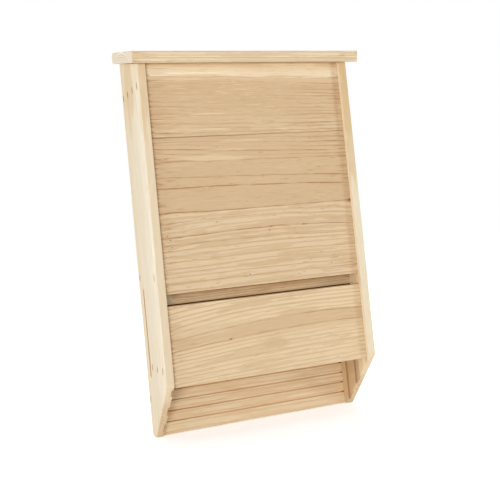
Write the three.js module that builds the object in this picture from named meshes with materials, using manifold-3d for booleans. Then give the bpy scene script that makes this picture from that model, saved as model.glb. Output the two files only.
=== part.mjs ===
// Bat box with three roosting chambers: stapled softwood boards under a roof board that slopes forward.
// Millimetres. X runs across the box, -Y is the front, +Z is up.
// The origin is the mounting point on the flat back, half way up.
import * as THREE from 'three';
import { mergeVertices } from 'three/addons/utils/BufferGeometryUtils.js';
import Module from 'manifold-3d';

// Driving dimensions of the box
const boxWidth = 270;
const sideThickness = 9.5;
const boardThickness = 11.6;
const chamberGap = 12.7;
const frontRecess = 6.5;
const sideFrontHeight = 441;
const roofPitch = THREE.MathUtils.degToRad(13.75);
const mountHeight = 230;

// Fits and eased edges
const jointGap = 0.3;
const edgeEase = 0.8;
const cutOverrun = 2;

// The boards lie in layers from the front to the back, one roosting gap apart, with baffles between
const baffleNames = ['front_baffle', 'rear_baffle'];
const backLayer = baffleNames.length + 1;
const layerPitch = boardThickness + chamberGap;
const boxDepth = frontRecess + backLayer * layerPitch + boardThickness;
const innerWidth = boxWidth - 2 * sideThickness;
const housingDepth = 2.5;
const boardLength = innerWidth + 2 * (housingDepth - jointGap);

function layerFront(layer) {
  return frontRecess + layer * layerPitch - boxDepth;
}

// The front boards are in layer 0, as they are in no list of baffles
function layerOf(board) {
  return board === 'back_board' ? backLayer : baffleNames.indexOf(board) + 1;
}

// Height of the roof's seat at depth y, the sloped line that the sides and end boards are cut to
function seatHeight(y) {
  return sideFrontHeight + (y + boxDepth) * Math.tan(roofPitch);
}

// Shared operations on outlines and solids

const wasm = await Module();
wasm.setup();

const axisX = new THREE.Vector3(1, 0, 0);
const axisY = new THREE.Vector3(0, 1, 0);
const axisZ = new THREE.Vector3(0, 0, 1);
const curveSteps = 5;

// Closed outline through corners [u, v, radius]; a radius above zero rounds its corner
function roundedOutline(corners) {
  const shape = new THREE.Shape();
  corners.forEach(([u, v, radius], index) => {
    const here = new THREE.Vector2(u, v);
    const before = new THREE.Vector2(...corners.at(index - 1));
    const after = new THREE.Vector2(...corners[(index + 1) % corners.length]);
    const toBefore = before.sub(here).normalize();
    const toAfter = after.sub(here).normalize();
    const turn = Math.PI - Math.acos(toBefore.dot(toAfter));
    const setBack = radius * Math.tan(turn / 2);
    const start = here.clone().addScaledVector(toBefore, setBack);
    const end = here.clone().addScaledVector(toAfter, setBack);
    if (index === 0) {
      shape.moveTo(start.x, start.y);
    } else {
      shape.lineTo(start.x, start.y);
    }
    if (radius > 0) {
      shape.quadraticCurveTo(here.x, here.y, end.x, end.y);
    }
  });
  shape.closePath();
  return shape;
}

// Straight slot with round ends; its length runs up from the centre of its lower end
function slotOutline(width, length, centreU, centreV) {
  const path = new THREE.Shape();
  const radius = width / 2;
  path.absarc(centreU, centreV, radius, Math.PI, 2 * Math.PI, false);
  path.absarc(centreU, centreV + length - width, radius, 0, Math.PI, false);
  path.closePath();
  return path;
}

// Turns a drawing in (u, v) with its thickness along w into the box's own axes
function turned(geometry, uAxis, vAxis) {
  const wAxis = new THREE.Vector3().crossVectors(uAxis, vAxis);
  return geometry.applyMatrix4(new THREE.Matrix4().makeBasis(uAxis, vAxis, wAxis));
}

// A (y, z) outline drawn out along X and centred, with its end edges eased by ease
function alongX(shape, length, ease) {
  const geometry = new THREE.ExtrudeGeometry(shape, {
    depth: length - 2 * ease,
    bevelEnabled: ease > 0,
    bevelThickness: ease,
    bevelSize: ease,
    bevelOffset: -ease,
    bevelSegments: 2,
    curveSegments: curveSteps,
  });
  geometry.translate(0, 0, ease - length / 2);
  return turned(geometry, axisY, axisZ);
}

function toSolid(geometry) {
  const bare = geometry.clone();
  bare.deleteAttribute('normal');
  bare.deleteAttribute('uv');
  const merged = mergeVertices(bare);
  return new wasm.Manifold(new wasm.Mesh({
    numProp: 3,
    vertProperties: merged.attributes.position.array,
    triVerts: merged.index.array,
  }));
}

function toGeometry(solid) {
  const mesh = solid.getMesh();
  const geometry = new THREE.BufferGeometry();
  geometry.setAttribute('position', new THREE.BufferAttribute(mesh.vertProperties, 3));
  geometry.setIndex(new THREE.BufferAttribute(mesh.triVerts, 1));
  geometry.computeVertexNormals();
  return geometry;
}

// Roof board: rests on the sides' sloped tops, flush with the back and over the front and sides
const roofThickness = 13.5;
const roofSideOverhang = 9.2;
const roofFrontOverhang = 14.5;
const roofBackRadius = 4;
const roofFrontRadius = 1.2;
const roofWidth = boxWidth + 2 * roofSideOverhang;
const roofLength = roofFrontOverhang + boxDepth / Math.cos(roofPitch);
const roofTop = jointGap + roofThickness;

// A point at a distance up the slope from the sides' front corners, and above the seat
function roofPoint(upSlope, above) {
  return [
    upSlope * Math.cos(roofPitch) - above * Math.sin(roofPitch) - boxDepth,
    upSlope * Math.sin(roofPitch) + above * Math.cos(roofPitch) + sideFrontHeight,
  ];
}

function roofBoard() {
  const front = -roofFrontOverhang;
  const back = roofLength - roofFrontOverhang;
  const outline = roundedOutline([
    [...roofPoint(front, jointGap), roofFrontRadius],
    [...roofPoint(back, jointGap), roofBackRadius],
    [...roofPoint(back, roofTop), roofBackRadius],
    [...roofPoint(front, roofTop), roofFrontRadius],
  ]);
  return toSolid(alongX(outline, roofWidth, edgeEase));
}

// Side panels: a long chamfer runs from the front edge to a short foot, with a vent to the rear chamber
const chamferHeight = 70.5;
const chamferRadius = 5;
const footDepth = 17;
const footRadius = 5;
const heelRadius = 6;
const sideVentWidth = 6.5;
const sideVentLength = 110;
const sideVentRise = 71.5;

// A groove right down the panel's inner face that houses the board ends of one layer
function housing(hand, layer) {
  const width = housingDepth + cutOverrun;
  const front = layerFront(layer) - jointGap;
  const back = layerFront(layer) + boardThickness + (layer === backLayer ? cutOverrun : jointGap);
  const height = seatHeight(0) + 2 * cutOverrun;
  const middle = innerWidth / 2 + housingDepth - width / 2;
  const groove = new THREE.BoxGeometry(width, back - front, height);
  groove.translate(hand * middle, (front + back) / 2, seatHeight(0) / 2);
  return toSolid(groove);
}

function sidePanel(hand) {
  const outline = roundedOutline([
    [-boxDepth, chamferHeight, chamferRadius],
    [-footDepth, 0, footRadius],
    [0, 0, heelRadius],
    [0, seatHeight(0), 0],
    [-boxDepth, seatHeight(-boxDepth), 0],
  ]);
  const rearChamberMiddle = layerFront(backLayer) - chamberGap / 2;
  const ventCentre = sideVentRise + sideVentWidth / 2;
  outline.holes.push(slotOutline(sideVentWidth, sideVentLength, rearChamberMiddle, ventCentre));
  const panel = alongX(outline, sideThickness, edgeEase);
  panel.translate(hand * (boxWidth - sideThickness) / 2, 0, 0);
  let solid = toSolid(panel);
  for (let layer = 0; layer <= backLayer; layer += 1) {
    solid = solid.subtract(housing(hand, layer));
  }
  return solid;
}

// Front boards: a glued pair above the front vent slot and one board below it
const lowerFrontRise = 66.5;
const lowerFrontHeight = 93;
const frontVentHeight = 13.5;
const upperFrontHeight = 86.5;
const ventBottom = lowerFrontRise + lowerFrontHeight;
const ventTop = ventBottom + frontVentHeight;
const frontSeam = sideFrontHeight - upperFrontHeight;

function frontBoard(bottom, top) {
  const front = layerFront(0);
  const back = front + boardThickness;
  const outline = roundedOutline([
    [front, bottom, edgeEase],
    [back, bottom, edgeEase],
    [back, top, edgeEase],
    [front, top, edgeEase],
  ]);
  return toSolid(alongX(outline, boardLength, 0));
}

// The upper board's top is cut to the roof's slope
function upperFrontBoard() {
  const front = layerFront(0);
  const back = front + boardThickness;
  const outline = roundedOutline([
    [front, frontSeam, edgeEase],
    [back, frontSeam, edgeEase],
    [back, seatHeight(back), 0],
    [front, seatHeight(front), 0],
  ]);
  return toSolid(alongX(outline, boardLength, 0));
}

// Roost boards: saw kerfs run right across the front face for claws to hold
const kerfPitch = 12.7;
const kerfWidth = 1.6;
const kerfDepth = 2;
const firstKerfRise = 15.2;
const kerfFreeTop = 12;
const baffleLift = 1.5;
const baffleTopGap = 12;

function kerfedBoard(layer, bottom, frontTop, backTop) {
  const front = layerFront(layer);
  const back = front + boardThickness;
  const deep = front + kerfDepth;
  const notches = [];
  for (let z = bottom + firstKerfRise; z < frontTop - kerfFreeTop; z += kerfPitch) {
    const low = z - kerfWidth / 2;
    const high = z + kerfWidth / 2;
    notches.push([front, low, 0], [deep, low, 0], [deep, high, 0], [front, high, 0]);
  }
  const outline = roundedOutline([
    [back, backTop, 0],
    [back, bottom, edgeEase],
    [front, bottom, 0],
    ...notches,
    [front, frontTop, 0],
  ]);
  return toSolid(alongX(outline, boardLength, 0));
}

function baffle(name) {
  const layer = layerOf(name);
  const top = seatHeight(layerFront(layer)) - baffleTopGap;
  return kerfedBoard(layer, lowerFrontRise + baffleLift, top, top);
}

// Back board: a roost board from the foot to the roof, with keyhole slots routed into its back
const keyholeSpacing = 120;
const keyholeDrop = 45;
const keyholeHeadWidth = 10;
const keyholeNeckWidth = 5;
const keyholeTravel = 12;
const keyholeDepth = 7;
const keyholeLip = 3;
const keyholeRise = sideFrontHeight - keyholeDrop;

function intoBack(shape, from, to) {
  const geometry = new THREE.ExtrudeGeometry(shape, {
    depth: to - from,
    bevelEnabled: false,
    curveSegments: curveSteps,
  });
  geometry.translate(0, 0, from);
  return toSolid(turned(geometry, axisX, axisZ));
}

function keyholeCutter(x) {
  const neckLength = keyholeTravel + keyholeNeckWidth;
  const undercutLength = keyholeTravel + keyholeHeadWidth;
  const head = slotOutline(keyholeHeadWidth, keyholeHeadWidth, x, keyholeRise);
  const neck = slotOutline(keyholeNeckWidth, neckLength, x, keyholeRise);
  const undercut = slotOutline(keyholeHeadWidth, undercutLength, x, keyholeRise);
  return intoBack(head, -cutOverrun, keyholeDepth)
    .add(intoBack(neck, -cutOverrun, keyholeDepth))
    .add(intoBack(undercut, keyholeLip, keyholeDepth));
}

function backBoard() {
  const board = kerfedBoard(backLayer, 0, seatHeight(layerFront(backLayer)), seatHeight(0));
  return board
    .subtract(keyholeCutter(-keyholeSpacing / 2))
    .subtract(keyholeCutter(keyholeSpacing / 2));
}

// Staples: narrow-crown wire staples, set just below the surface
const crownWidth = 6.4;
const stapleLength = 25;
const wireSize = 1.1;
const crownSink = 0.5;

// U outline grown by clearance, its crown reaching back by headroom; the legs have chisel points
function stapleOutline(clearance, headroom) {
  const outer = crownWidth / 2 + clearance;
  const inner = crownWidth / 2 - wireSize - clearance;
  const tip = stapleLength + clearance;
  const heel = tip - wireSize;
  const underCrown = wireSize + clearance;
  return roundedOutline([
    [-outer, -headroom, 0],
    [outer, -headroom, 0],
    [outer, heel, 0],
    [inner, tip, 0],
    [inner, underCrown, 0],
    [-inner, underCrown, 0],
    [-inner, tip, 0],
    [-outer, heel, 0],
  ]);
}

function stapleShape(clearance, headroom) {
  const thickness = wireSize + 2 * clearance;
  const geometry = new THREE.ExtrudeGeometry(stapleOutline(clearance, headroom), {
    depth: thickness,
    bevelEnabled: false,
  });
  return geometry.translate(0, 0, -thickness / 2);
}

// The boards, as solids that the staples are then driven into
const boards = {
  roof_board: roofBoard(),
  left_side_panel: sidePanel(-1),
  right_side_panel: sidePanel(1),
  upper_front_board: upperFrontBoard(),
  middle_front_board: frontBoard(ventTop, frontSeam),
  lower_front_board: frontBoard(lowerFrontRise, ventBottom),
  back_board: backBoard(),
};
baffleNames.forEach((name) => {
  boards[name] = baffle(name);
});

const steel = new THREE.MeshStandardMaterial({ color: 0x9c968a, roughness: 0.45, metalness: 1 });
const box = new THREE.Group();
box.position.z = -mountHeight;

// Places one staple with its crown along crownAxis and cuts its seat out of the boards it joins
function driveStaple(name, surfacePoint, crownAxis, driveAxis, joined) {
  const staple = new THREE.Mesh(stapleShape(0, 0), steel);
  staple.name = name;
  const basis = new THREE.Matrix4();
  basis.makeBasis(crownAxis, driveAxis, new THREE.Vector3().crossVectors(crownAxis, driveAxis));
  staple.quaternion.setFromRotationMatrix(basis);
  staple.position.copy(surfacePoint).addScaledVector(driveAxis, crownSink);
  staple.updateMatrix();
  const seat = toSolid(stapleShape(jointGap, crownSink + cutOverrun).applyMatrix4(staple.matrix));
  joined.forEach((board) => {
    boards[board] = boards[board].subtract(seat);
  });
  box.add(staple);
}

// Rows of staples through each side panel, one into the end of each board that the row names
const topRowDrop = 23.5;
const middleRowRise = 20.6;
const lowRowRise = 20;
const footRowRise = 45.4;

const sideRows = [
  {
    row: 'top',
    height: sideFrontHeight - topRowDrop,
    held: ['upper_front_board', ...baffleNames, 'back_board'],
  },
  { row: 'middle', height: ventTop + middleRowRise, held: ['middle_front_board', 'back_board'] },
  { row: 'low', height: lowerFrontRise + lowRowRise, held: ['lower_front_board', ...baffleNames] },
  { row: 'foot', height: footRowRise, held: ['back_board'] },
];
const hands = [['left', -1], ['right', 1]];

hands.forEach(([side, hand]) => {
  const drive = axisX.clone().multiplyScalar(-hand);
  sideRows.forEach(({ row, height, held }) => {
    held.forEach((board) => {
      const y = layerFront(layerOf(board)) + boardThickness / 2;
      const point = new THREE.Vector3(hand * boxWidth / 2, y, height);
      const joined = [`${side}_side_panel`, board];
      driveStaple(`${side}_${row}_staple_${board}`, point, axisZ, drive, joined);
    });
  });
});

// Staples through the roof board into the side panels and the two end boards
const roofStapleShares = [0.2, 0.5, 0.8];
const roofEndStapleShare = 0.25;
const roofDrive = new THREE.Vector3(0, Math.sin(roofPitch), -Math.cos(roofPitch));
const upRoof = new THREE.Vector3(0, Math.cos(roofPitch), Math.sin(roofPitch));

function driveRoofStaple(name, x, seatY, crownAxis, board) {
  const [y, z] = roofPoint((seatY + boxDepth) / Math.cos(roofPitch), roofTop);
  driveStaple(name, new THREE.Vector3(x, y, z), crownAxis, roofDrive, ['roof_board', board]);
}

hands.forEach(([side, hand]) => {
  const sideX = hand * (boxWidth - sideThickness) / 2;
  roofStapleShares.forEach((share, index) => {
    const name = `roof_staple_${side}_side_${index + 1}`;
    driveRoofStaple(name, sideX, (share - 1) * boxDepth, upRoof, `${side}_side_panel`);
  });
  const endX = hand * innerWidth * roofEndStapleShare;
  const frontY = layerFront(0) + boardThickness / 2;
  const backY = layerFront(backLayer) + boardThickness / 2;
  driveRoofStaple(`roof_staple_front_${side}`, endX, frontY, axisX, 'upper_front_board');
  driveRoofStaple(`roof_staple_back_${side}`, endX, backY, axisX, 'back_board');
});

// Finishes: bare softwood, planed and pale outside, sawn and warmer on the roost boards
function bareWood(color, roughness) {
  return new THREE.MeshStandardMaterial({ color, roughness, metalness: 0 });
}

const roofWood = bareWood(0xe2c8a2, 0.7);
const sideWood = bareWood(0xeee0c8, 0.7);
const frontWood = bareWood(0xd9bc94, 0.7);
const roostWood = bareWood(0xd4ae80, 0.8);
const finishes = {
  roof_board: roofWood,
  left_side_panel: sideWood,
  right_side_panel: sideWood,
  upper_front_board: frontWood,
  middle_front_board: frontWood,
  lower_front_board: frontWood,
};

Object.entries(boards).forEach(([name, solid]) => {
  const board = new THREE.Mesh(toGeometry(solid), finishes[name] ?? roostWood);
  board.name = name;
  box.add(board);
});

const batBox = new THREE.Group();
batBox.add(box);

export default batBox;
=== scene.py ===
import bpy
import math
from types import SimpleNamespace
from mathutils import Matrix, Vector


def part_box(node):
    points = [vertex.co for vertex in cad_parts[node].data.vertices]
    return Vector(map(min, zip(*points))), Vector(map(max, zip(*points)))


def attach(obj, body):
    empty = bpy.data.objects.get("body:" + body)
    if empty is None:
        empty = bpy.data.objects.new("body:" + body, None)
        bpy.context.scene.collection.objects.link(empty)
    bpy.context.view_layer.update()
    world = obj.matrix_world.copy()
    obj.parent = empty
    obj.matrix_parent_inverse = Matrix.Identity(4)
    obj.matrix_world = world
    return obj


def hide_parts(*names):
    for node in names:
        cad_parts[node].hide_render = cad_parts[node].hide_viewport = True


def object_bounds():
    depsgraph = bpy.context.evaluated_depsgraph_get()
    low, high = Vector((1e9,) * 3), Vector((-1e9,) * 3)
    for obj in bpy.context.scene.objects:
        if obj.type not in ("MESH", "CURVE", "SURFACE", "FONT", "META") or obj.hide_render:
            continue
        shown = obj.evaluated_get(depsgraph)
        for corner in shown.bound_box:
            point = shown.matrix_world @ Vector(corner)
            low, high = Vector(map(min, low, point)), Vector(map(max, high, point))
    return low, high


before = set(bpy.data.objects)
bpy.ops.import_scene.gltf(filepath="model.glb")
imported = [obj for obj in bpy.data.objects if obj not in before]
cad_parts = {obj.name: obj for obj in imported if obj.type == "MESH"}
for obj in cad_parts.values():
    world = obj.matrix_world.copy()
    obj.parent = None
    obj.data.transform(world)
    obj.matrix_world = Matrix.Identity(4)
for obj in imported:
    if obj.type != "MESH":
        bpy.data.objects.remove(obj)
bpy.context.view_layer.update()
print("frame loaded:", len(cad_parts), "nodes")

mm = 0.001


def tone(code):  # "d6b890" to the linear colour that Blender's sockets take
    parts = [int(code[i:i + 2], 16) / 255 for i in (0, 2, 4)]
    return [p / 12.92 if p <= 0.04045 else ((p + 0.055) / 1.055) ** 2.4 for p in parts] + [1]


# Node helpers: put adds a shader node, calc a math node, and both wire what they are given

def put(tree, kind, values=None, **options):
    node = tree.nodes.new("ShaderNode" + kind)
    for option, value in options.items():
        setattr(node, option, value)
    for socket, value in (values or {}).items():
        if isinstance(value, bpy.types.NodeSocket):
            tree.links.new(value, node.inputs[socket])
        else:
            node.inputs[socket].default_value = value
    return node


def calc(tree, operation, *values, clamp=False):
    return put(tree, "Math", dict(enumerate(values)), operation=operation, use_clamp=clamp).outputs[0]


def times(tree, product, *factors):
    for factor in factors:
        product = calc(tree, "MULTIPLY", product, factor)
    return product


def sway(tree, base, field, gain):  # base moved by a noise field about the field's mean of a half
    return calc(tree, "MULTIPLY_ADD", calc(tree, "SUBTRACT", field, 0.5), gain, base)


def span(tree, value, low, high, toLow=0.0, toHigh=1.0):  # smooth step from low to high
    values = {"Value": value, "From Min": low, "From Max": high, "To Min": toLow, "To Max": toHigh}
    return put(tree, "MapRange", values, interpolation_type="SMOOTHSTEP").outputs["Result"]


def within(tree, value, middle, outer, inner):  # 1 nearer to the middle than inner, 0 beyond outer
    away = calc(tree, "ABSOLUTE", calc(tree, "SUBTRACT", value, middle))
    return span(tree, away, outer, inner)


def soft(tree, place, centre, radii):  # 1 at the centre of an ellipsoid, falling to 0 outside it
    far = 0.0
    for value, middle, radius in zip(place, centre, radii):
        offset = calc(tree, "MULTIPLY", calc(tree, "SUBTRACT", value, middle), 1 / radius)
        far = calc(tree, "MULTIPLY_ADD", offset, offset, far)
    return calc(tree, "EXPONENT", calc(tree, "MULTIPLY", far, -1.0))


def noise(tree, place, scales, detail, seed, roughness=0.55):
    scaled = [calc(tree, "MULTIPLY", value, scale) for value, scale in zip(place, scales)]
    vector = put(tree, "CombineXYZ", dict(enumerate(scaled))).outputs[0]
    values = {"Vector": vector, "W": seed, "Scale": 1.0, "Detail": detail, "Roughness": roughness}
    return put(tree, "TexNoise", values, noise_dimensions="4D").outputs


def ramp(tree, value, stops):  # stops are (place, grey or colour) in rising order
    node = put(tree, "ValToRGB", {0: value})
    elements = node.color_ramp.elements
    while len(elements) < len(stops):
        elements.new(1)
    while len(elements) > len(stops):
        elements.remove(elements[-1])
    for element, (place, shade) in zip(elements, stops):
        element.position = place
        element.color = shade if isinstance(shade, list) else [shade] * 3 + [1]
    return node.outputs["Color"]


def mix(tree, factor, first, second, blend="MIX"):
    node = put(tree, "Mix", data_type="RGBA", blend_type=blend, clamp_factor=True)
    for index, value in ((0, factor), (6, first), (7, second)):
        if isinstance(value, bpy.types.NodeSocket):
            tree.links.new(value, node.inputs[index])
        else:
            node.inputs[index].default_value = value
    return node.outputs[2]


def stain(tree, colour, share, code):
    return mix(tree, share, colour, tone(code))


def separated(tree, vector):
    return put(tree, "SeparateXYZ", {0: vector}).outputs


def channels(tree, colour):
    return put(tree, "SeparateColor", {0: colour}).outputs


# Wood: growth rings about a pith line, so a face shows lines and an end shows arcs
# u runs along the grain, v across the main face and w through the board, all in millimetres

# Noise fields: scale along the grain, scale across it, detail, step from the wood's seed, roughness
fields = {
    "slow": (0.006, 0.012, 1.5, 0, 0.55),
    "ripple": (0.022, 0.08, 2.0, 3, 0.55),
    "along": (0.018, 0.3, 3.0, 11, 0.55),
    "flame": (0.014, 0.16, 2.5, 13, 0.6),
    "fibre": (0.05, 1.5, 3.0, 17, 0.65),
    "pores": (0.045, 1.2, 1.0, 23, 0.55),
    "blotch": (0.012, 0.05, 2.0, 29, 0.55),
    "dots": (0.8, 1.5, 3.0, 31, 0.7),
    "fray": (0.02, 0.6, 2.0, 41, 0.6),
}

# How the grain's traits show: spans are (from, to) of a noise or a place, some with the shares they give
grain = {
    "leanRange": 20.0, "leanLength": 100.0,
    "knotBend": 0.6, "knotReach": (6.0, 3.0), "knotShape": 1.5, "knotCore": (0.15, 0.7, 0.0, 0.65),
    "knotTone": "7c4a28",
    "unevenScale": 0.45, "unevenDetail": 1.0, "unevenStep": 7, "unevenRings": 1.5,
    "lateRing": [(0.0, 0.3), (0.04, 0.0), (0.74, 0.02), (0.86, 0.25), (0.94, 1.0), (1.0, 0.3)],
    "paleRing": [(0.0, 0.0), (0.1, 1.0), (0.65, 0.9), (0.84, 0.0)],
    "cutRing": [(0.0, 0.4), (0.1, 0.0), (0.66, 0.0), (0.84, 1.0), (1.0, 0.4)],
    "ringLuck": (0.0, 1.0, 0.45, 1.0), "ringAlong": (0.3, 0.6, 0.25, 1.0),
    "endDistance": 125.0, "endPower": 5.0,
    "flameBelow": 0.02, "flameAbove": 0.03,
    "darkPores": (0.6, 0.68), "palePores": (0.36, 0.3),
    "smudgeDetail": 3.0, "smudgeStep": 43, "smudgeRoughness": 0.7,
    "blotches": (0.3, 0.7), "patchRagged": 1.6, "patchEdge": (0.25, 0.6),
    "lineLeft": (-30.0, -115.0), "lineRight": (30.0, 112.0),
    "dashScales": (0.035, 0.5), "dashDetail": 2.0, "dashStep": 19, "dashes": (0.36, 0.56, 0.3, 1.15),
    "linesPerRamp": 9, "lineMargin": 3.0, "lineUnder": 0.6,
    "seamTone": "85481c", "seamFade": (60.0, -115.0), "seamRight": 0.5,
    "fibreGrey": (0.25, 0.75, 0.95, 1.04),
}

# Cut ends and faces: what the saw left, with painted shade in kerfs and housings, by facing and by depth
# behind the wood's front
sawn = {
    "endDots": (0.3, 0.7), "strokeSlant": -0.46, "strokeScales": (0.55, 0.05), "strokeDetail": 2.0,
    "strokeStep": 47, "strokeRoughness": 0.7, "strokes": (0.5, 0.64), "lightTopShare": 0.9,
    "edgeFacing": (-0.6, -0.9), "edgeDepth": (-19.0, -19.6), "edgeShare": 0.85,
    "lipFacing": (0.6, 0.9), "lipDepth": (-13.0, -14.0),
    "kerfFloor": (0.5, 1.2), "kerfFacing": (-0.9, -0.98),
    "kerfRight": (121.0, 124.5), "kerfLeft": (-60.0, -122.0, 0.0, 0.35), "kerfRunOutShadeTone": "2b180b",
}

# Side panels' inner faces, painted darker and oranger further behind the front for their shade and the back
# board's warm bounce, and the walls at the front vent's ends, painted tan for their shade
inner = {
    "nearTone": "ffe6bc", "toneDepth": (7.0, 14.0), "share": 0.85,
    "facing": (0.85, 0.98), "endFacing": (0.3, 0.1), "lipDepth": (-14.0, -13.0),
    "wallPlace": (0.1295, 0.129), "wallDepth": (0.0, -0.5), "wallFacing": (0.6, 0.3), "wallShadeTone": "e4c9a0",
    "ventHeight": -65.0, "ventHalf": (16.0, 14.0),
}

# Side vent's walls, warmed by the cutter
sideVent = {
    "depth": -17.95, "halfWidth": (3.5, 3.2), "height": -103.5, "halfLength": (53.0, 52.5),
    "facing": (0.6, 0.2), "tone": "dcb086",
}

# Front boards' ends: torn fibres and painted shade beside the left joint, and a painted shadow band where the
# right panel's proud edge shades the right end
tornAndShadedEnds = {
    "scale": 300.0, "detail": 2.0, "step": 37, "roughness": 0.7,
    "depth": (0.36, 0.68, 2.4, 9.5), "boardEnd": 125.5, "leftToRight": (-0.05, 0.05), "tone": "96653a",
    "shadowBandPlace": 0.119, "shadowBandRadius": 0.0027, "shadowBandNoise": (0.34, 0.62), "shadowBandLeast": 0.3, "shadowBandTone": "a87443",
}

# Dents round the staples' crowns, browned most near the roof
dents = {
    "radii": (4.7, 1.8), "edge": (0.2, 0.6), "highFrom": 150.0,
    "high": (0.85, "9c6840"), "low": (0.75, "c29468"),
}

finish = {
    "roughness": 0.72, "lateRoughness": -0.14, "fibreRoughness": 0.3, "specular": 0.12,
    "fibreRelief": 0.5, "lateRelief": 0.5, "dotsRelief": 0.8, "bumpHeight": 0.25 * mm,
}


def shareOf(place, across):
    return (place - across[0]) / (across[1] - across[0])


def shareAcross(tree, value, across):
    values = {"Value": value, "From Min": across[0], "From Max": across[1]}
    return put(tree, "MapRange", values).outputs["Result"]


def field(tree, name, wood, place):
    along, across, detail, step, roughness = fields[name]
    return noise(tree, place, (along, across, across), detail, wood["seed"] + step, roughness)


def findPlace(tree, wood):  # u, v, w and behind in millimetres, x and z in metres, and the facings
    coordinate = put(tree, "TexCoord").outputs
    turn = [math.radians(angle) for angle in wood["turn"]]
    placed = put(tree, "Mapping", {0: coordinate["Object"], "Rotation": turn, "Scale": [1 / mm] * 3})
    facing = put(tree, "Mapping", {0: coordinate["Normal"], "Rotation": turn}, vector_type="NORMAL")
    at = SimpleNamespace()
    at.u, at.v, at.w = separated(tree, placed.outputs[0])
    at.endFacing = calc(tree, "ABSOLUTE", separated(tree, facing.outputs[0])[0])
    at.x, y, at.z = separated(tree, coordinate["Object"])
    at.xFacing, at.yFacing = separated(tree, coordinate["Normal"])[:2]
    at.behind = calc(tree, "MULTIPLY_ADD", y, 1 / mm, -wood["front"])
    return at


def followGrain(tree, wood, at):  # grain lines that lean, bow, bend round knots and wander
    across = wood["across"]
    leanRange = grain["leanRange"]
    at.share = shareAcross(tree, at.v, across)
    stops = [(shareOf(place, across), [0.5 + slope / leanRange, 0.5 + bow / leanRange, 0, 1])
             for place, slope, bow in wood["lean"]]
    lean = channels(tree, ramp(tree, at.share, stops))
    slope = calc(tree, "MULTIPLY_ADD", lean[0], leanRange, -leanRange / 2)
    bow = calc(tree, "MULTIPLY_ADD", lean[1], leanRange, -leanRange / 2)
    reach = times(tree, at.u, 1 / grain["leanLength"])
    level = calc(tree, "SUBTRACT", at.v, times(tree, reach, calc(tree, "MULTIPLY_ADD", reach, bow, slope)))
    for knotU, knotV, size in wood["knots"]:
        bend = soft(tree, (at.u, at.v), (knotU, knotV), [size * radius for radius in grain["knotReach"]])
        bend = times(tree, bend, grain["knotBend"], calc(tree, "SUBTRACT", at.v, knotV))
        level = calc(tree, "SUBTRACT", level, bend)
    slow = channels(tree, field(tree, "slow", wood, (at.u, level, at.w))["Color"])
    ripple = field(tree, "ripple", wood, (at.u, level, at.w))[0]
    at.line = sway(tree, level, ripple, wood["ripple"])
    at.ringV = sway(tree, at.line, slow[0], wood["wander"])
    at.ringW = sway(tree, at.w, slow[1], wood["wander"])


def growRings(tree, wood, at):  # each ring has a pale early part and a dark late part
    wandering = (at.u, at.ringV, at.ringW)
    offV = calc(tree, "SUBTRACT", at.ringV, wood["pith"][0])
    offW = calc(tree, "SUBTRACT", at.ringW, wood["pith"][1])
    radius = calc(tree, "SQRT", calc(tree, "MULTIPLY_ADD", offV, offV, times(tree, offW, offW)))
    uneven = noise(tree, (radius,), (grain["unevenScale"] / wood["ring"],), grain["unevenDetail"],
                   wood["seed"] + grain["unevenStep"])[0]
    count = calc(tree, "DIVIDE", radius, wood["ring"])
    phase = calc(tree, "MULTIPLY_ADD", uneven, grain["unevenRings"], count)
    at.ringShare = calc(tree, "FRACT", phase)
    number = calc(tree, "ADD", calc(tree, "FLOOR", phase), wood["seed"])
    luck = put(tree, "TexWhiteNoise", {"W": number}, noise_dimensions="1D").outputs["Value"]
    along = field(tree, "along", wood, wandering)[0]
    stops = [(shareOf(place, wood["across"]), [lateGain, paleGain, 0, 1])
             for place, lateGain, paleGain in wood["zones"]]
    zones = channels(tree, ramp(tree, at.share, stops))
    endward = times(tree, calc(tree, "ABSOLUTE", at.u), 1 / grain["endDistance"])
    at.endward = calc(tree, "POWER", endward, grain["endPower"], clamp=True)
    late = times(tree, ramp(tree, at.ringShare, grain["lateRing"]),
                 span(tree, luck, *grain["ringLuck"]), span(tree, along, *grain["ringAlong"]))
    lateGain = calc(tree, "MULTIPLY_ADD", at.endward, wood["endGain"], zones[0])
    at.late = calc(tree, "MULTIPLY", late, lateGain, clamp=True)
    at.flame = field(tree, "flame", wood, wandering)[0]
    paleTo = wood["paleFrom"] + grain["flameAbove"] * wood["flameSoft"]
    paleFrom = wood["paleFrom"] - grain["flameBelow"] * wood["flameSoft"]
    at.pale = times(tree, ramp(tree, at.ringShare, grain["paleRing"]), zones[1],
                    span(tree, at.flame, paleFrom, paleTo))


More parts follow.
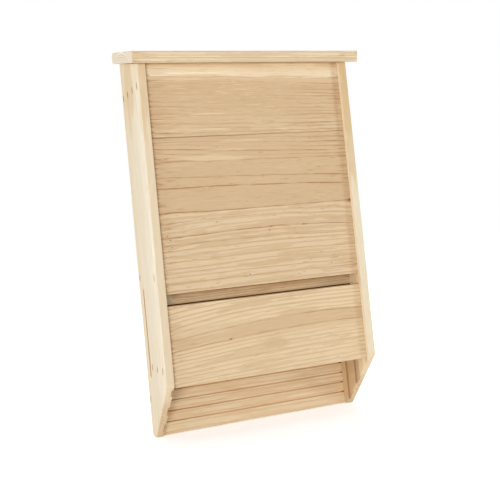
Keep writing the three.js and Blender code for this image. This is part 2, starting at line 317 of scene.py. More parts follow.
def colourFace(tree, wood, at):  # tones across the board, blotches, rings, sawn edge and patches
    wandering = (at.u, at.ringV, at.ringW)
    fray = field(tree, "fray", wood, (at.u, at.line, at.w))[0]
    share = shareAcross(tree, sway(tree, at.line, fray, wood["fray"]), wood["across"])
    stops = [(shareOf(place, wood["across"]), tone(code)) for place, code in wood["tones"]]
    colour = ramp(tree, share, stops)
    blotch = field(tree, "blotch", wood, wandering)[0]
    blotched = span(tree, blotch, *grain["blotches"], 0.0, wood["blotchShare"])
    colour = stain(tree, colour, blotched, wood["blotch"])
    colour = stain(tree, colour, at.pale, wood["pale"])
    smudgeAlong, smudgeAcross = wood["smudgeScale"]
    smudge = noise(tree, wandering, (smudgeAlong, smudgeAcross, smudgeAcross), grain["smudgeDetail"],
                   wood["seed"] + grain["smudgeStep"], grain["smudgeRoughness"])[0]
    smudgeTo = wood["smudgeFrom"] + wood["smudgeSoft"]
    smudged = span(tree, smudge, wood["smudgeFrom"], smudgeTo, 0.0, wood["smudge"])
    colour = stain(tree, colour, smudged, wood["smudgeTone"])
    colour = stain(tree, colour, at.late, wood["late"])
    if wood["edge"]:
        edge = times(tree, span(tree, at.yFacing, *sawn["edgeFacing"]),
                     span(tree, at.behind, *sawn["edgeDepth"]))
        lip = span(tree, times(tree, at.xFacing, wood["inside"]), *sawn["lipFacing"])
        lipDepth = span(tree, at.behind, *sawn["lipDepth"])
        edge = calc(tree, "MULTIPLY_ADD", lip, lipDepth, edge, clamp=True)
        colour = stain(tree, colour, times(tree, edge, sawn["edgeShare"]), wood["edge"])
    for centre, radii, strength, code in wood["patches"]:
        patch = soft(tree, (at.u, at.v, at.w), centre, radii)
        ragged = sway(tree, patch, at.flame, grain["patchRagged"])
        colour = stain(tree, colour, span(tree, ragged, *grain["patchEdge"], 0.0, strength), code)
    return colour


def drawLines(tree, v, lines):  # one channel each for all along, the left end and the right end
    total = None
    lines = sorted(lines)
    margin = grain["lineMargin"]
    for first in range(0, len(lines), grain["linesPerRamp"]):
        group = lines[first:first + grain["linesPerRamp"]]
        across = (group[0][0] - margin, group[-1][0] + margin)
        stops = [(0.0, [0, 0, 0, 1])]
        for height, half, *strengths in group:
            under = height + grain["lineUnder"] * half
            for place, gain in ((height - half, 0.0), (height, 1.0), (under, 0.0)):
                stops.append((shareOf(place, across), [gain * strength for strength in strengths] + [1]))
        drawn = ramp(tree, shareAcross(tree, v, across), stops)
        total = mix(tree, 1.0, total, drawn, "ADD") if total else drawn
    return channels(tree, total)


def addFlaws(tree, wood, at, colour):  # single dark lines, knots, glued seams, pores and fibres
    if wood["lines"]:
        drawn = drawLines(tree, at.line, wood["lines"])
        dark = calc(tree, "MULTIPLY_ADD", drawn[1], span(tree, at.u, *grain["lineLeft"]), drawn[0])
        dark = calc(tree, "MULTIPLY_ADD", drawn[2], span(tree, at.u, *grain["lineRight"]), dark)
        dash = noise(tree, (at.u, at.line), grain["dashScales"], grain["dashDetail"],
                     wood["seed"] + grain["dashStep"])[0]
        dark = calc(tree, "MULTIPLY", dark, span(tree, dash, *grain["dashes"]), clamp=True)
        colour = stain(tree, colour, dark, wood["line"])
        at.late = calc(tree, "MAXIMUM", at.late, dark)
    for knotU, knotV, size in wood["knots"]:
        core = soft(tree, (at.u, at.v), (knotU, knotV), (grain["knotShape"] * size, size))
        colour = stain(tree, colour, span(tree, core, *grain["knotCore"]), grain["knotTone"])
    for height, half, strength in wood["seams"]:
        near = soft(tree, (at.v,), (height,), (half,))
        fade = span(tree, at.u, *grain["seamFade"], grain["seamRight"] * strength, strength)
        colour = stain(tree, colour, times(tree, near, fade), grain["seamTone"])
    wandering = (at.u, at.ringV, at.ringW)
    pores = field(tree, "pores", wood, wandering)[0]
    dashGain = calc(tree, "MULTIPLY_ADD", at.endward, wood["dash"][1], wood["dash"][0])
    dashed = calc(tree, "MULTIPLY", span(tree, pores, *grain["darkPores"]), dashGain, clamp=True)
    colour = stain(tree, colour, dashed, wood["line"])
    glint = times(tree, span(tree, pores, *grain["palePores"]), wood["glint"])
    colour = stain(tree, colour, glint, wood["pale"])
    at.fibre = field(tree, "fibre", wood, wandering)[0]
    grey = span(tree, at.fibre, *grain["fibreGrey"])
    greys = put(tree, "CombineColor", {0: grey, 1: grey, 2: grey}).outputs[0]
    return mix(tree, 1.0, colour, greys, "MULTIPLY")


def cutAcross(tree, wood, at, colour):  # end grain, where the fibres are cut across
    at.endness = span(tree, at.endFacing, *wood["endFrom"])
    at.dots = field(tree, "dots", wood, (at.u, at.v, at.w))[0]
    dotted = span(tree, at.dots, *sawn["endDots"], 0.0, wood["endDots"])
    cut = mix(tree, dotted, tone(wood["end"]), tone(wood["endDark"]))
    rings = times(tree, ramp(tree, at.ringShare, grain["cutRing"]), wood["endRings"])
    cut = stain(tree, cut, rings, wood["endDark"])
    if wood["saw"]:  # strokes that slant across the cut, and a lighter band above them
        slanted = calc(tree, "MULTIPLY_ADD", at.w, sawn["strokeSlant"], at.u)
        stroke = noise(tree, (slanted, at.w), sawn["strokeScales"], sawn["strokeDetail"],
                       wood["seed"] + sawn["strokeStep"], sawn["strokeRoughness"])[0]
        cut = stain(tree, cut, span(tree, stroke, *sawn["strokes"], 0.0, wood["saw"]), wood["endDark"])
        lightTop = span(tree, at.u, *wood["lightTopCut"], 0.0, sawn["lightTopShare"])
        cut = stain(tree, cut, lightTop, wood["lightTopTone"])
    return mix(tree, times(tree, at.endness, wood["endShare"]), colour, cut)


# painted shade: kerf and housing floors are darkened, darkest where they run out at the housings
def shadeKerfs(tree, wood, at, colour):  # kerf floors, darkest where they run out at the housings
    kerfFloor = times(tree, span(tree, at.behind, *sawn["kerfFloor"]),
                      span(tree, at.yFacing, *sawn["kerfFacing"]))
    colour = stain(tree, colour, times(tree, kerfFloor, wood["kerfShadeShare"]), wood["kerf"])
    runOutShade = calc(tree, "MAXIMUM", span(tree, at.u, *sawn["kerfRight"]), span(tree, at.u, *sawn["kerfLeft"]))
    return stain(tree, colour, times(tree, kerfFloor, runOutShade, wood["kerfRunOutShade"]), sawn["kerfRunOutShadeTone"])


def shadeInside(tree, wood, at, colour):
    behindLip = span(tree, at.behind, *inner["lipDepth"])
    walls = times(tree, within(tree, at.x, 0.0, *inner["wallPlace"]),
                  span(tree, at.behind, *inner["wallDepth"]),
                  within(tree, at.u, inner["ventHeight"], *inner["ventHalf"]))
    inward = span(tree, times(tree, at.xFacing, wood["inside"]), *inner["facing"])
    inward = times(tree, calc(tree, "MAXIMUM", inward, walls), behindLip,
                   span(tree, at.endFacing, *inner["endFacing"]))
    # painted shade and bounce: the inner faces go from the pale near tone to a darker, oranger tone deeper
    # behind the front
    deepness = span(tree, at.behind, *inner["toneDepth"])
    deepShadeTone = mix(tree, deepness, tone(inner["nearTone"]), tone(wood["insideShadeTone"]))
    colour = mix(tree, inward, colour, mix(tree, inner["share"], colour, deepShadeTone))
    sideways = calc(tree, "ABSOLUTE", at.xFacing)
    # painted shade on the walls at the front vent's ends
    walls = times(tree, walls, span(tree, sideways, *inner["wallFacing"]), behindLip)
    colour = stain(tree, colour, walls, inner["wallShadeTone"])
    vent = times(tree, within(tree, at.v, sideVent["depth"], *sideVent["halfWidth"]),
                 within(tree, at.u, sideVent["height"], *sideVent["halfLength"]),
                 span(tree, sideways, *sideVent["facing"]))
    return stain(tree, colour, vent, sideVent["tone"])


def tearAndShadeEnds(tree, wood, at, colour):
    rough = noise(tree, (at.z,), (tornAndShadedEnds["scale"],), tornAndShadedEnds["detail"], wood["seed"] + tornAndShadedEnds["step"],
                  tornAndShadedEnds["roughness"])[0]
    depth = span(tree, rough, *tornAndShadedEnds["depth"])
    # torn fibres and painted shade: a ragged dark strip along each board end, strongest at the left joint
    toEnd = calc(tree, "MULTIPLY_ADD", calc(tree, "ABSOLUTE", at.x), -1 / mm, tornAndShadedEnds["boardEnd"])
    tornAndShaded = span(tree, toEnd, depth, 0.0)
    strength = span(tree, at.x, *tornAndShadedEnds["leftToRight"], *wood["tornAndShaded"])
    colour = stain(tree, colour, times(tree, tornAndShaded, strength), tornAndShadedEnds["tone"])
    # painted shadow: a band near the right end, where the right panel's proud edge shades the board
    rightShadowBand = soft(tree, (at.x,), (tornAndShadedEnds["shadowBandPlace"],), (tornAndShadedEnds["shadowBandRadius"],))
    shadowBandStrength = span(tree, rough, *tornAndShadedEnds["shadowBandNoise"], tornAndShadedEnds["shadowBandLeast"] * wood["rightShadowBand"], wood["rightShadowBand"])
    return stain(tree, colour, times(tree, rightShadowBand, shadowBandStrength), tornAndShadedEnds["shadowBandTone"])


def dentStaples(tree, wood, at, colour):
    for height, depth in wood["marks"]:
        dent = soft(tree, (at.u, at.v), (height, depth), dents["radii"])
        share, code = dents["high"] if height > dents["highFrom"] else dents["low"]
        colour = stain(tree, colour, span(tree, dent, *dents["edge"], 0.0, share), code)
    return colour


def woodMaterial(name, wood):
    material = bpy.data.materials.new(name)
    material.use_nodes = True
    tree = material.node_tree
    tree.nodes.clear()
    at = findPlace(tree, wood)
    followGrain(tree, wood, at)
    growRings(tree, wood, at)
    colour = colourFace(tree, wood, at)
    colour = addFlaws(tree, wood, at, colour)
    colour = cutAcross(tree, wood, at, colour)
    colour = shadeKerfs(tree, wood, at, colour)
    if wood["inside"]:
        colour = shadeInside(tree, wood, at, colour)
    if wood["tornAndShaded"]:
        colour = tearAndShadeEnds(tree, wood, at, colour)
    colour = dentStaples(tree, wood, at, colour)

    roughness = calc(tree, "MULTIPLY_ADD", at.late, finish["lateRoughness"], finish["roughness"])
    roughness = sway(tree, roughness, at.fibre, finish["fibreRoughness"])
    lateRelief = times(tree, at.late, finish["lateRelief"])
    relief = calc(tree, "MULTIPLY_ADD", at.fibre, finish["fibreRelief"], lateRelief)
    relief = calc(tree, "MULTIPLY_ADD", at.dots, times(tree, at.endness, finish["dotsRelief"]), relief)
    bump = put(tree, "Bump", {"Strength": wood["relief"], "Distance": finish["bumpHeight"], "Height": relief})
    values = {"Base Color": colour, "Roughness": roughness, "Normal": bump.outputs[0],
              "Specular IOR Level": finish["specular"]}
    put(tree, "OutputMaterial", {0: put(tree, "BsdfPrincipled", values).outputs[0]})
    return material


plainWood = {
    "turn": (-90, 0, 0), "seed": 1.0, "across": (-250.0, 250.0), "front": -91.0,
    "lean": [(0.0, 0.0, 0.0)],  # height, slope, bow
    "wander": 8.0, "ripple": 1.6, "pith": (-60.0, -70.0), "ring": 5.0,
    "zones": [(0.0, 0.4, 0.3)],  # height, gain of the rings' late parts, gain of their pale parts
    "endGain": 0.25,
    "tones": [(0.0, "dbbe96")],  # height, tone
    "pale": "e4cba8", "late": "c28a57", "line": "9c5526",
    "blotch": "e2c9a5", "blotchShare": 0.25, "fray": 5.0, "paleFrom": 0.48, "flameSoft": 1.0,
    "dash": (0.12, 0.3), "glint": 0.3,
    "smudge": 0.0, "smudgeTone": "b9966b", "smudgeScale": (0.06, 0.28),
    "smudgeFrom": 0.62, "smudgeSoft": 0.03,
    "lines": [],  # height, half width, strength all along, at the left end, at the right end
    "knots": [],  # u, v, size
    "patches": [],  # centre, radii, share, tone
    "seams": [],  # height, half width, strength
    "marks": [],  # height and depth of each staple's dent
    "end": "dcbc90", "endDark": "a87c4e", "endShare": 0.9, "endDots": 0.35, "endRings": 0.6,
    "endFrom": (0.35, 0.85), "saw": 0.0, "edge": "", "inside": 0,
    # kerf tones: painted shade on the floors of kerfs and housings, darker still where they run out
    "kerf": "8a4f24", "kerfShadeShare": 0.7, "kerfRunOutShade": 0.0,
    "tornAndShaded": None,  # strength at the left end, at the right end
    "rightShadowBand": 0.0, "relief": 0.35,
}
upperFront = dict(
    plainWood, seed=4.0, front=-84.5, across=(110.0, 220.0), pith=(-140.0, -330.0), ring=5.6,
    wander=3.0, ripple=2.6,
    lean=[(112.0, 0.5, 0.0), (125.0, -0.5, 0.0), (138.0, -2.1, 0.9), (160.0, -2.8, 0.4),
          (188.0, -3.4, 0.0), (194.0, -1.9, 0.0), (198.0, -1.8, -0.64)],
    zones=[(124.0, 0.2, 0.35), (140.0, 0.1, 0.25), (150.0, 0.06, 0.08), (180.0, 0.05, 0.03),
           (192.0, 0.05, 0.1)],
    # painted light: the top tones, just under the roof, are raised to cancel the shade of the roof's overhang
    tones=[(112.0, "d5b790"), (186.0, "d5b790"), (188.5, "d8bb95"), (190.0, "dcc19c"),
           (195.0, "dfc5a0"), (196.4, "ead5b2"), (198.0, "f5e7cd"), (201.5, "f2e3c7"),
           (204.0, "f0dcb9"), (207.5, "eed7b2"), (210.0, "e6cda8"), (212.0, "e4cba5")],
    fray=17.0, dash=(0.2, 0.25), glint=0.7, pale="edd8b4", smudge=0.12,
    patches=[((-69.0, 200.7, 84.5), (34.0, 0.8, 6.0), 0.6, "fdf4da"),
             ((-60.0, 205.5, 84.5), (45.0, 1.8, 6.0), 0.5, "f2dfbc"),
             ((60.0, 209.5, 84.5), (38.0, 1.2, 6.0), 0.6, "efdcb9"),
             ((-85.0, 192.0, 84.5), (42.0, 2.4, 6.0), 0.55, "e9d2ac"),
             ((-55.0, 151.3, 84.5), (28.0, 0.7, 6.0), 0.6, "efdebb"),
             ((-46.0, 132.5, 84.5), (24.0, 0.7, 6.0), 0.5, "efdebb"),
             ((-75.0, 172.0, 84.5), (22.0, 0.6, 6.0), 0.45, "e9d5b0")],
    lines=[(189.4, 1.0, 0.28, 0.1, 0.3), (181.0, 0.8, 0.05, 0.15, 0.5), (176.5, 0.7, 0.0, 0.25, 0.6),
           (172.5, 0.7, 0.04, 0.2, 0.7), (168.5, 0.8, 0.05, 0.15, 0.75), (163.0, 0.7, 0.05, 0.25, 0.5),
           (157.5, 0.7, 0.05, 0.25, 0.4), (153.0, 0.7, 0.08, 0.12, 0.5), (148.5, 0.7, 0.12, 0.12, 0.6),
           (143.0, 0.7, 0.06, 0.15, 0.4), (137.7, 0.8, 0.2, 0.22, 0.5), (133.5, 0.7, 0.12, 0.12, 0.5),
           (128.5, 0.7, 0.12, 0.3, 0.2)],
    seams=[(124.6, 0.8, 0.5)], tornAndShaded=(0.7, 0.04), rightShadowBand=0.25)
middleFront = dict(
    plainWood, seed=9.0, front=-84.5, across=(-70.0, 135.0), pith=(-300.0, -300.0), ring=3.9,
    wander=2.5, ripple=3.2,
    lean=[(-60.0, 0.3, 0.0), (-42.0, 0.0, 0.0), (-30.0, 0.8, -0.8), (-15.0, 1.0, -1.5), (-0.2, -0.7, -1.5),
          (11.7, 1.3, -3.9), (27.0, -0.8, -2.4), (35.6, 0.0, 0.6), (63.8, -2.8, -1.8), (74.6, -3.0, 0.0),
          (94.0, -1.2, 0.0), (105.0, -4.9, 1.0), (116.0, -4.4, 0.9), (124.0, 0.0, 0.0)],
    zones=[(-60.0, 0.7, 0.9), (-5.0, 0.65, 0.95), (8.0, 0.25, 0.7), (22.0, 0.08, 0.95), (34.0, 0.05, 0.95),
           (37.0, 0.02, 0.03), (76.0, 0.02, 0.03), (86.0, 0.03, 0.12), (122.0, 0.05, 0.18)],
    tones=[(-60.0, "d9bc95"), (5.0, "d7ba93"), (34.0, "d6b992"), (36.5, "d4b68f"), (124.0, "d5b790")],
    fray=5.0, paleFrom=0.46, dash=(0.12, 0.4), glint=0.45, smudge=0.5,
    patches=[((-45.0, 98.0, 84.5), (42.0, 3.6, 6.0), 0.7, "e6cfa9"),
             ((-30.0, 107.5, 84.5), (34.0, 1.8, 6.0), 0.6, "e6cfa9"),
             ((-20.0, 117.0, 84.5), (30.0, 1.8, 6.0), 0.6, "e6cfa9")],
    lines=[(121.0, 0.8, 0.2, 0.1, 0.2), (116.0, 1.0, 0.3, 0.2, 0.3), (110.5, 0.8, 0.05, 0.3, 0.5),
           (105.0, 1.1, 0.45, 0.3, 0.2), (99.5, 0.9, 0.25, 0.2, 0.3), (94.0, 1.1, 0.35, 0.1, 0.3),
           (74.6, 1.2, 0.4, 0.0, 0.3), (63.8, 1.4, 0.75, 0.1, 0.1), (35.6, 1.4, 0.7, 0.1, 0.1),
           (27.0, 1.1, 0.35, 0.1, 0.1), (11.7, 1.3, 0.7, 0.1, 0.0), (-0.2, 1.0, 0.4, 0.2, 0.1)],
    knots=[(124.3, 36.5, 1.6), (-54.9, 22.2, 0.6), (13.5, 11.8, 0.6), (57.6, 10.8, 0.6), (11.5, 6.9, 0.8),
           (-19.4, -43.4, 0.8), (90.1, -40.0, 0.6), (-116.2, 9.9, 0.7), (-113.1, 5.0, 0.8),
           (-112.0, -3.2, 0.6)],
    seams=[(124.4, 0.8, 0.5)], tornAndShaded=(0.65, 0.04), rightShadowBand=0.13)
lowerFront = dict(
    plainWood, seed=13.0, front=-84.5, across=(-175.0, -60.0), pith=(-420.0, -200.0), ring=3.6,
    wander=2.0, ripple=2.4,
    lean=[(-165.0, 2.3, -0.8), (-135.0, 4.0, -1.5), (-115.0, 5.2, -3.0), (-100.0, 5.5, -4.3),
          (-72.0, 3.5, -2.5)],
    zones=[(-165.0, 0.75, 0.9), (-125.0, 0.7, 0.9), (-118.0, 0.35, 0.5), (-114.0, 0.05, 0.05),
           (-100.0, 0.05, 0.05), (-96.0, 0.25, 0.9), (-70.0, 0.5, 0.9)],
    tones=[(-165.0, "e2c7a0"), (-118.0, "e0c59e"), (-113.0, "d8ba92"), (-100.0, "d8ba92"),
           (-97.0, "dfc49d"), (-72.0, "dcbf98")],
    fray=6.0, paleFrom=0.43, glint=0.35, smudge=0.25, pale="ebd3ae",
    patches=[((-85.0, -104.0, 84.5), (34.0, 5.0, 6.0), 0.7, "e4caa4"),
             ((-58.0, -117.0, 84.5), (25.0, 3.5, 6.0), 0.5, "dfc49d"),
             ((40.0, -96.0, 84.5), (26.0, 5.0, 6.0), 0.7, "d8ba92"),
             ((3.0, -129.0, 84.5), (24.0, 6.0, 6.0), 0.7, "d6b88f")],
    lines=[(-99.0, 1.3, 0.4, 0.1, 0.1), (-113.5, 1.2, 0.4, 0.1, 0.1)],
    knots=[(-51.3, -116.7, 1.0)], tornAndShaded=(0.6, 0.04), rightShadowBand=0.07)
roofWood = dict(
    plainWood, turn=(-13.75, 0, 0), seed=21.0, front=-500.0, across=(-60.0, 62.0), pith=(2.0, 135.0),
    ring=3.0, lean=[(-60.0, 0.8, 0.5), (0.0, -0.4, 0.9), (60.0, 0.5, -0.5)], wander=0.8, ripple=1.3,
    zones=[(-60.0, 0.85, 0.7)], tones=[(-60.0, "e1c9a4")], pale="eedbbb", late="ad7a48", glint=0.5,
    end="fff3dc", endDark="74501f", endDots=0.02, endRings=0.95, kerfShadeShare=0.0)
sideWood = dict(
    plainWood, turn=(0, 90, 0), seed=30.0, front=-71.0, across=(-92.0, 2.0), pith=(-30.0, -240.0), ring=6.0,
    zones=[(-92.0, 0.25, 0.2)], endGain=0.0,
    tones=[(-91.0, "fdf4e2"), (-85.0, "fbf1dc"), (-78.0, "f5e8d0"), (-62.0, "efe1c8"), (-45.0, "e7d8bc"),
           (-15.0, "e9d9bd"), (0.0, "e9d8ba")],
    pale="f7ecd8", late="d2b283", line="c09a68", blotch="f1e5d1", blotchShare=0.35,
    # the kerf tone here is painted shade in the baffle housings on the inner faces
    fray=9.0, dash=(0.08, 0.0), glint=0.2, edge="e5d0ae", kerf="a06a3c", inside=1, insideShadeTone="e6c293",
    smudge=0.3, smudgeTone="e4cea6", smudgeScale=(0.02, 0.16), smudgeFrom=0.5, smudgeSoft=0.12,
    end="fde3bb", endDark="c6935c", endFrom=(0.15, 0.35), endRings=0.12, endDots=0.15,
    saw=0.32, lightTopCut=(-190.0, -175.0), lightTopTone="ffe9c4")
leftSide = dict(
    sideWood, kerf="d8a878",
    patches=[((194.0, -40.0, 135.0), (36.0, 30.0, 3.0), 0.75, "e1c69c"),
             ((152.0, -86.0, 135.0), (28.0, 5.0, 3.0), 0.5, "e8d5b0"),
             ((205.0, -82.0, 135.0), (30.0, 10.0, 3.0), 0.4, "ead9ba"),
             ((160.0, -30.0, 135.0), (30.0, 9.0, 3.0), 0.5, "e0c49a"),
             ((182.0, -5.0, 135.0), (45.0, 7.0, 3.0), 0.45, "dfc397"),
             ((0.0, -6.0, 135.0), (300.0, 14.0, 3.0), 0.3, "e6d3b0"),
             ((190.0, -91.0, 132.0), (55.0, 1.0, 6.0), 0.5, "dcbe90")])
rightSide = dict(
    sideWood, seed=34.0, inside=-1, edge="ecdcbc",
    end="f0d7ae", lightTopCut=(-197.0, -182.0), lightTopTone="f8e2bf",
    patches=[((180.0, -91.0, -131.0), (70.0, 2.0, 9.0), 0.85, "d8b888"),
             ((100.0, -91.0, -131.0), (50.0, 2.0, 9.0), 0.7, "dfc398")])
roostWood = dict(
    plainWood, seed=40.0, front=-11.6, across=(-232.0, 225.0), pith=(-500.0, -300.0), ring=4.6, wander=5.0,
    zones=[(-230.0, 0.4, 0.7)], endGain=0.1, tones=[(-230.0, "f6dcb3")],
    pale="fdeaca", late="c8925e", blotch="eecaa0", blotchShare=0.5, flameSoft=3.0, dash=(0.15, 0.1),
    kerf="dca468", kerfShadeShare=0.65, kerfRunOutShade=0.85,
    # painted light: the tones are paler than the pine so the shaded foot reads lit, and this patch near w = 0
    # takes the back face down to a plain tone
    patches=[((0.0, 0.0, 0.0), (900.0, 900.0, 3.0), 0.6, "dcc09a")])
frontBaffle = dict(
    roostWood, seed=44.0, front=-60.2, ring=2.6,
    # painted shade: the tones darken towards the top, where the upper front board shades the slot
    zones=[(-230.0, 0.8, 0.5)], tones=[(-230.0, "f6d6a8"), (-67.0, "f6d6a8"), (-61.5, "deb485")],
    pale="fbe4bd", late="986230", blotch="e4bc8c", flameSoft=1.0, dash=(0.4, 0.2),
    # painted shade: the kerf in the slot is painted near black
    kerf="83551f", kerfShadeShare=1.0,
    # painted light: this patch lightens the left end, against the shade beside the left panel
    patches=[((-118.0, -64.0, 60.2), (9.0, 14.0, 4.0), 0.8, "fff0d0")])

for hand, panel in (("left", leftSide), ("right", rightSide)):
    panel["marks"] = []
    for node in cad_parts:
        if node.startswith(hand) and "staple" in node:
            middle = sum(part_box(node), Vector()) / 2 / mm
            panel["marks"].append((middle.z, middle.y))

woods = {
    "upper_front_board": upperFront,
    "middle_front_board": middleFront,
    "lower_front_board": lowerFront,
    "roof_board": roofWood,
    "left_side_panel": leftSide,
    "right_side_panel": rightSide,
    "front_baffle": frontBaffle,
    "rear_baffle": dict(roostWood, seed=48.0, front=-35.9),
    "back_board": roostWood,
}
for node, wood in woods.items():
    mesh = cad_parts[node].data
    mesh.materials.clear()
    mesh.materials.append(woodMaterial(node + "_wood", wood))
print("wood finished")

# Staples: one dull round wire bent, then a copy driven in at each place
staple = {
    "crown": 6.4 * mm, "wire": 1.08 * mm, "bend": 0.95 * mm, "length": 24.9 * mm,
    "point": 1.3 * mm, "pointShare": 0.35, "sides": 10, "bendSteps": 5, "smoothAngle": 50,
}
wireFinish = {
    "tone": "b07c50", "grimeTone": "8a5a36", "grimeScale": 900.0, "grimeDetail": 3.0,
    "grime": (0.4, 0.65), "roughness": (0.3, 0.7, 0.42, 0.65), "metallic": 0.4,
}


def pull(x, z):  # extrude the selected end of the wire
    bpy.ops.mesh.extrude_region_move(TRANSFORM_OT_translate={"value": (x, 0, z)})


def bendWire(x, z):  # turn the wire a quarter about a point
    bpy.ops.mesh.spin(steps=staple["bendSteps"], angle=math.pi / 2, center=(x, 0, z), axis=(0, 1, 0))


def bendStaple():
    halfCrown = (staple["crown"] - staple["wire"]) / 2
    bendTop = -staple["wire"] / 2 - staple["bend"]
    straight = bendTop + staple["length"] - staple["point"]
    flat = staple["pointShare"]
    bpy.ops.object.select_all(action="DESELECT")
    bpy.ops.mesh.primitive_circle_add(vertices=staple["sides"], radius=staple["wire"] / 2, fill_type="NGON",
                                      location=(-halfCrown, 0, -staple["length"]))
    wire = bpy.context.object
    wire.name = "staple_pattern"
    bpy.ops.object.transform_apply(location=True)
    bpy.ops.object.mode_set(mode="EDIT")
    bpy.ops.mesh.select_all(action="SELECT")
    bpy.ops.transform.resize(value=(flat, 1, 1))
    pull(0, staple["point"])
    bpy.ops.transform.resize(value=(1 / flat, 1, 1))
    pull(0, straight)
    bendWire(staple["bend"] - halfCrown, bendTop)
    pull(2 * (halfCrown - staple["bend"]), 0)
    bendWire(halfCrown - staple["bend"], bendTop)
    pull(0, -straight)
    pull(0, -staple["point"])
    bpy.ops.transform.resize(value=(flat, 1, 1))
    bpy.ops.mesh.select_all(action="SELECT")
    bpy.ops.mesh.remove_doubles(threshold=0.01 * mm)
    bpy.ops.mesh.normals_make_consistent(inside=False)
    bpy.ops.object.mode_set(mode="OBJECT")
    bpy.ops.object.shade_smooth_by_angle(angle=math.radians(staple["smoothAngle"]))
    return wire


def stapleMaterial():
    material = bpy.data.materials.new("staple_wire")
    material.use_nodes = True
    tree = material.node_tree
    tree.nodes.clear()
    place = put(tree, "TexCoord").outputs["Object"]
    values = {"Vector": place, "Scale": wireFinish["grimeScale"], "Detail": wireFinish["grimeDetail"]}
    grime = put(tree, "TexNoise", values).outputs[0]
    grimy = span(tree, grime, *wireFinish["grime"])
    colour = mix(tree, grimy, tone(wireFinish["tone"]), tone(wireFinish["grimeTone"]))
    values = {"Base Color": colour, "Roughness": span(tree, grime, *wireFinish["roughness"]),
              "Metallic": wireFinish["metallic"]}
    put(tree, "OutputMaterial", {0: put(tree, "BsdfPrincipled", values).outputs[0]})
    return material


def extent(points, axis):
    places = [point.dot(axis) for point in points]
    return min(places), max(places)


roofPitch = math.radians(-roofWood["turn"][0])
rightward, backward, upward = Vector((1, 0, 0)), Vector((0, 1, 0)), Vector((0, 0, 1))
upRoof = Vector((0, math.cos(roofPitch), math.sin(roofPitch)))
intoRoof = Vector((0, math.sin(roofPitch), -math.cos(roofPitch)))
drives = {"left": rightward, "right": -rightward, "roof": intoRoof}
pattern = bendStaple()
wireMaterial = stapleMaterial()
for node in [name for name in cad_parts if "staple" in name]:
    drive = drives[node.split("_")[0]]
    points = [vertex.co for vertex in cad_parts[node].data.vertices]
    ways = (rightward, upRoof) if node.startswith("roof") else (backward, upward)
    crown = max(ways, key=lambda way: extent(points, way)[1] - extent(points, way)[0])
    across = (-drive).cross(crown)
    place = crown * sum(extent(points, crown)) / 2 + across * sum(extent(points, across)) / 2
    place += drive * extent(points, drive)[0]
    bent = pattern.data.copy()
    bent.transform(Matrix.Translation(place) @ Matrix((crown, across, -drive)).transposed().to_4x4())
    bent.materials.append(wireMaterial)
    piece = bpy.data.objects.new(node + "_wire", bent)
    bpy.context.scene.collection.objects.link(piece)
    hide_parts(node)
    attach(piece, "root")
bpy.data.objects.remove(pattern)
print("staples bent and driven")

# Floor and surroundings: white where the camera or a gloss sees them, with a plain soft light on the box
studio = {
    "floorSize": 30, "floorDrop": 0.5 * mm, "floorGrey": 0.88, "floorLift": 0.56,
    "softLight": 0.55, "white": 1.0,
}
white = [1, 1, 1, 1]


def seenRays(tree):  # 1 for what the camera sees or a gloss shows, 0 for what lights the box
    rays = put(tree, "LightPath").outputs
    return calc(tree, "MAXIMUM", rays["Is Camera Ray"], rays["Is Glossy Ray"])


bpy.ops.object.select_all(action="DESELECT")
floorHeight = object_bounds()[0].z - studio["floorDrop"]
bpy.ops.mesh.primitive_plane_add(size=studio["floorSize"], location=(0, 0, floorHeight))
floor = bpy.context.object
floor.name = "floor"
floorMaterial = bpy.data.materials.new("pale_floor")
floorMaterial.use_nodes = True
floorTree = floorMaterial.node_tree
floorTree.nodes.clear()
diffuse = put(floorTree, "BsdfDiffuse", {"Color": [studio["floorGrey"]] * 3 + [1]})
lift = put(floorTree, "Emission", {"Color": white, "Strength": studio["floorLift"]})
lifted = put(floorTree, "AddShader", {0: diffuse.outputs[0], 1: lift.outputs[0]})
floorLooks = {0: seenRays(floorTree), 1: diffuse.outputs[0], 2: lifted.outputs[0]}
floorMix = put(floorTree, "MixShader", floorLooks)
put(floorTree, "OutputMaterial", {0: floorMix.outputs[0]})
floor.data.materials.append(floorMaterial)

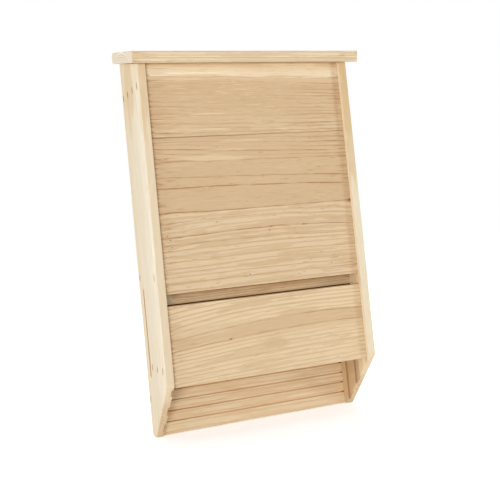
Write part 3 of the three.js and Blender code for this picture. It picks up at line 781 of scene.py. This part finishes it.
world = bpy.data.worlds.new("studio")
bpy.context.scene.world = world
world.use_nodes = True
worldTree = world.node_tree
worldTree.nodes.clear()
softLight = put(worldTree, "Background", {"Color": white, "Strength": studio["softLight"]})
whiteWall = put(worldTree, "Background", {"Color": white, "Strength": studio["white"]})
worldLights = {0: seenRays(worldTree), 1: softLight.outputs[0], 2: whiteWall.outputs[0]}
worldMix = put(worldTree, "MixShader", worldLights)
put(worldTree, "OutputWorld", {0: worldMix.outputs[0]})

lamps = {
    "keyLamp": {"place": (-1.15, -2.1, -0.15), "size": 0.5, "power": 20},
    "leftLamp": {"place": (-2.3, -0.65, -0.1), "size": 1.2, "power": 21},
    "rightLamp": {"place": (1.9, -1.4, 0.0), "size": 0.6, "power": 10},
    "backLamp": {"place": (0.9, 1.5, 1.6), "size": 1.2, "power": 26},
}
lampAim = Vector((0, -0.06, 0))
for name, lamp in lamps.items():
    light = bpy.data.lights.new(name, "AREA")
    light.shape = "DISK"
    light.size = lamp["size"]
    light.energy = lamp["power"]
    holder = bpy.data.objects.new(name, light)
    holder.location = lamp["place"]
    holder.rotation_euler = (lampAim - Vector(lamp["place"])).to_track_quat("-Z", "Y").to_euler()
    bpy.context.scene.collection.objects.link(holder)

# Camera: place in metres, turns in radians
view = {
    "place": (-0.354129, -0.970634, -0.012794),
    "yaw": 0.3688, "pitch": 0.0457, "roll": -0.0972,
    "lens": 56.94, "sensor": 36, "shift": -0.0762,
}
cameraData = bpy.data.cameras.new("photo_camera")
cameraData.lens = view["lens"]
cameraData.sensor_width = view["sensor"]
cameraData.shift_y = view["shift"]
camera = bpy.data.objects.new("photo_camera", cameraData)
bpy.context.scene.collection.objects.link(camera)
yaw, pitch, roll = view["yaw"], view["pitch"], view["roll"]
forward = Vector((math.sin(yaw) * math.cos(pitch), math.cos(yaw) * math.cos(pitch), math.sin(pitch)))
horizontal = Vector((math.cos(yaw), -math.sin(yaw), 0))
rise = horizontal.cross(forward)
cameraRight = math.cos(roll) * horizontal + math.sin(roll) * rise
cameraUp = math.cos(roll) * rise - math.sin(roll) * horizontal
cameraTurn = Matrix((cameraRight, cameraUp, -forward)).transposed()
camera.matrix_world = Matrix.Translation(view["place"]) @ cameraTurn.to_4x4()
bpy.context.scene.camera = camera
bpy.context.scene.view_settings.view_transform = "Standard"
print("stage set")
